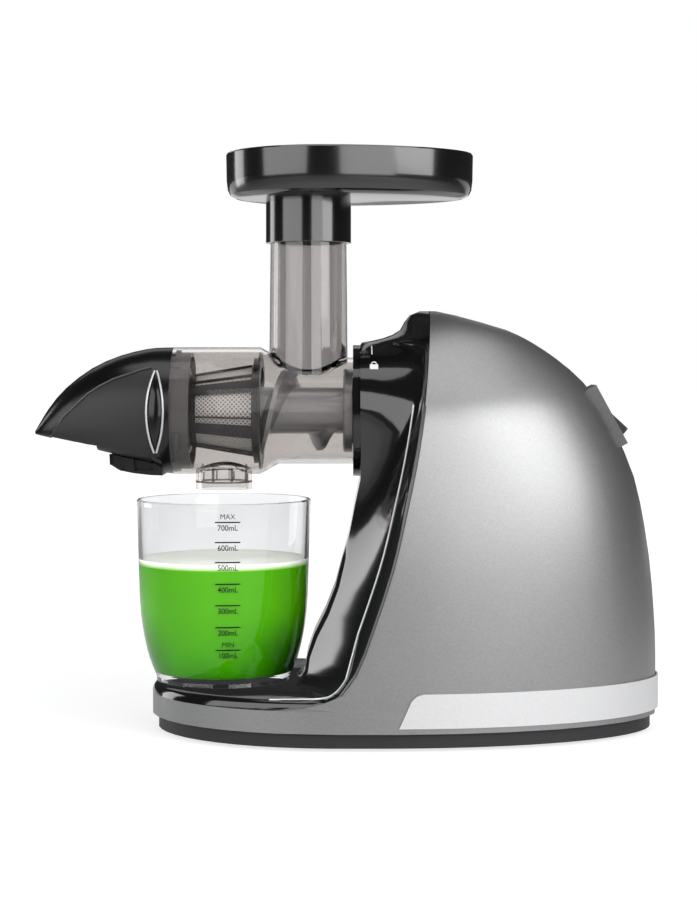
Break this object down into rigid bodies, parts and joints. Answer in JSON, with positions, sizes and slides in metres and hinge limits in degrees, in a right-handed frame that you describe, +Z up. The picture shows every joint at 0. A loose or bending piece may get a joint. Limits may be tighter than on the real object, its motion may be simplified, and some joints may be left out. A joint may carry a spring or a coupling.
{
  "type": "cold press juicer",
  "caption": "Horizontal cold press juicer with a geared motor housing, clear juicing drum with chute and strainer, auger, nose cap, hopper tray, jug and rocker switch.",
  "frame": {"origin": "on the table under the middle of the bounding box", "axes": "+X towards the rear of the housing, -X towards the nose cap, +Y towards the machine's right-hand side seen from the nose looking back, +Z up"},
  "size_m": [0.3952, 0.1778, 0.366],
  "materials": {
    "cover_black": "piano black gloss",
    "body_grey": "satin metallic grey paint on moulded plastic",
    "trim_silver": "satin chrome plating",
    "base_dark": "fine matte texture",
    "foot_rubber": "matte",
    "socket_black": "gloss",
    "bezel_grey": "satin",
    "switch_black": "satin black",
    "inner_black": "moulded",
    "frame_plastic": "glass-filled, moulded",
    "gear_white": "natural, oiled",
    "steel": "ground",
    "can_steel": "zinc plated",
    "copper": "varnished copper windings and laminations",
    "bronze": "sintered bronze",
    "ferrite": "ferrite, matte",
    "board_green": "solder mask",
    "auger_grey": "gloss, steel grey",
    "seal_grey": "matte silicone",
    "clear_smoke": "clear, smoke tinted, gloss",
    "cage_dark": "satin",
    "mesh_steel": "fine woven mesh",
    "hood_black": "gloss rim with matte side panels",
    "cap_dark": "satin",
    "tray_black": "piano black gloss",
    "jug_clear": "clear, colourless, gloss"
  },
  "bodies": {
    "base": {"base_plate": "base_dark", "rubber_feet": "foot_rubber", "main_shell": "body_grey", "front_cover": "cover_black", "edge_bead": "trim_silver", "silver_band": "trim_silver", "drum_socket": "socket_black", "switch_bezel": "bezel_grey", "switch_body": "inner_black", "cord_gland": "inner_black", "chassis": "frame_plastic", "gearbox_case": "frame_plastic", "gearbox_lid": "frame_plastic", "output_bush": "bronze", "gear_pins": "steel", "motor_can": "can_steel", "motor_end_cap": "inner_black", "field_magnets": "ferrite", "control_board": "board_green"},
    "motor": {"rotor": "copper", "cooling_fan": "inner_black"},
    "first_gear": {"first_cluster": "gear_white"},
    "second_gear": {"second_cluster": "gear_white"},
    "auger": {"auger_screw": "auger_grey", "auger_shaft": "steel", "auger_seal": "seal_grey", "output_gear": "gear_white"},
    "drum": {"juicing_drum": "clear_smoke", "feed_tube": "clear_smoke", "juice_spout": "clear_smoke", "strainer_cage": "cage_dark", "strainer_rim": "cage_dark", "strainer_mesh": "mesh_steel"},
    "cap": {"cap_bulkhead": "cap_dark", "nose_hood": "hood_black", "pulp_outlet": "cap_dark"},
    "hopper": {"hopper_tray": "tray_black"},
    "jug": {"jug": "jug_clear"},
    "rocker": {"switch_rocker": "switch_black"}
  },
  "joints": [
    {"name": "motor_spin", "type": "hinge", "parent": "base", "child": "motor", "pos_m": [0, 0, 0.1645], "axis": [1, 0, 0], "continuous": true},
    {"name": "first_gear_spin", "type": "hinge", "parent": "base", "child": "first_gear", "pos_m": [0, 0, 0.202], "axis": [1, 0, 0], "continuous": true},
    {"name": "second_gear_spin", "type": "hinge", "parent": "base", "child": "second_gear", "pos_m": [0, 0, 0.1645], "axis": [1, 0, 0], "continuous": true},
    {"name": "auger_spin", "type": "hinge", "parent": "base", "child": "auger", "pos_m": [0, 0, 0.202], "axis": [1, 0, 0], "continuous": true},
    {"name": "drum_twist", "type": "hinge", "parent": "base", "child": "drum", "pos_m": [0, 0, 0.202], "axis": [1, 0, 0], "range_deg": [0, 30]},
    {"name": "cap_twist", "type": "hinge", "parent": "drum", "child": "cap", "pos_m": [-0.111, 0, 0.202], "axis": [1, 0, 0], "range_deg": [0, 35]},
    {"name": "hopper_lift", "type": "slide", "parent": "drum", "child": "hopper", "axis": [0, 0, 1], "range_m": [0, 0.06]},
    {"name": "jug_slide", "type": "slide", "parent": "base", "child": "jug", "axis": [0, -1, 0], "range_m": [0, 0.18]},
    {"name": "switch_rock", "type": "hinge", "parent": "base", "child": "rocker", "pos_m": [0.16434, 0, 0.19849], "axis": [0, 1, 0], "range_deg": [0, 20]}
  ],
  "couplings": [
    {"joint": "first_gear_spin", "follows": "motor_spin", "ratio": -0.25},
    {"joint": "second_gear_spin", "follows": "motor_spin", "ratio": 0.0625},
    {"joint": "auger_spin", "follows": "motor_spin", "ratio": -0.015625}
  ]
}
